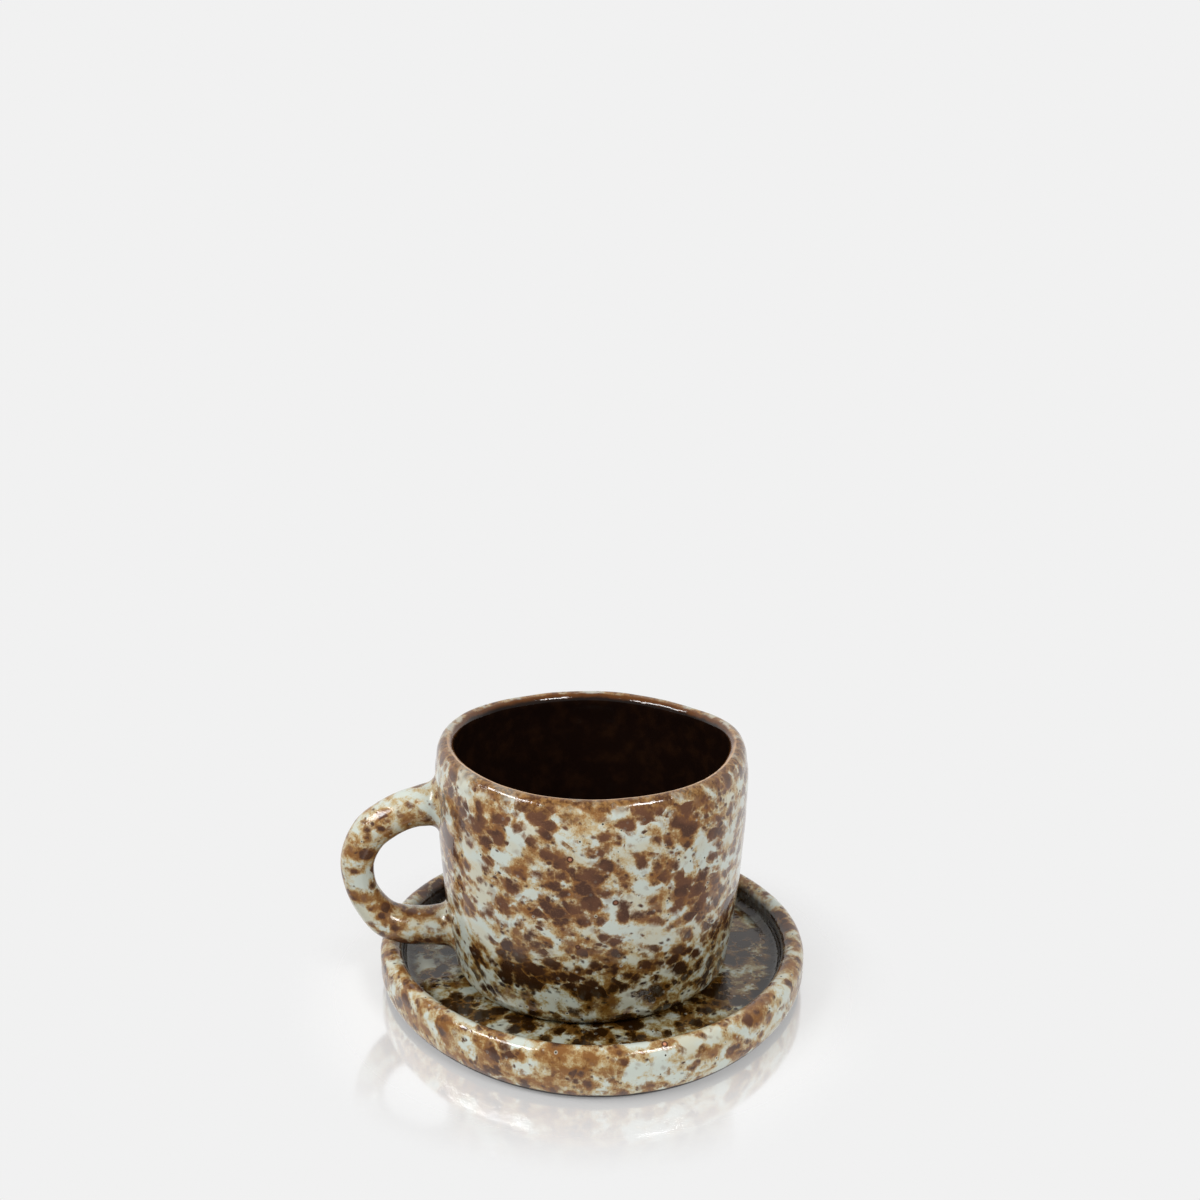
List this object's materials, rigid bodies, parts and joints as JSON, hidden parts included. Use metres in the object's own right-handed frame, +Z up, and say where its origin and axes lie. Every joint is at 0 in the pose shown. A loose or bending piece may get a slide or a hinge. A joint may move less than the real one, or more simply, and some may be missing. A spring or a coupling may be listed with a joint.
{
  "type": "cup with saucer",
  "caption": "Hand-built stoneware cup with a round coil handle, on a saucer with a raised rounded rim, in a mottled brown and pale glaze.",
  "frame": {"origin": "middle of the saucer's flat underside, on the surface that it stands on", "axes": "+Z up, handle towards -X, front of the cup in the picture towards -Y"},
  "size_m": [0.1155, 0.1087, 0.0649],
  "materials": {
    "cup_glaze": "gloss",
    "saucer_glaze": "gloss"
  },
  "bodies": {
    "saucer": {"saucer": "saucer_glaze"},
    "cup": {"cup_body": "cup_glaze", "cup_handle": "cup_glaze"}
  },
  "joints": [
    {"name": "cup_lift", "type": "slide", "parent": "saucer", "child": "cup", "axis": [0, 0, 1], "range_m": [0, 0.08]}
  ]
}
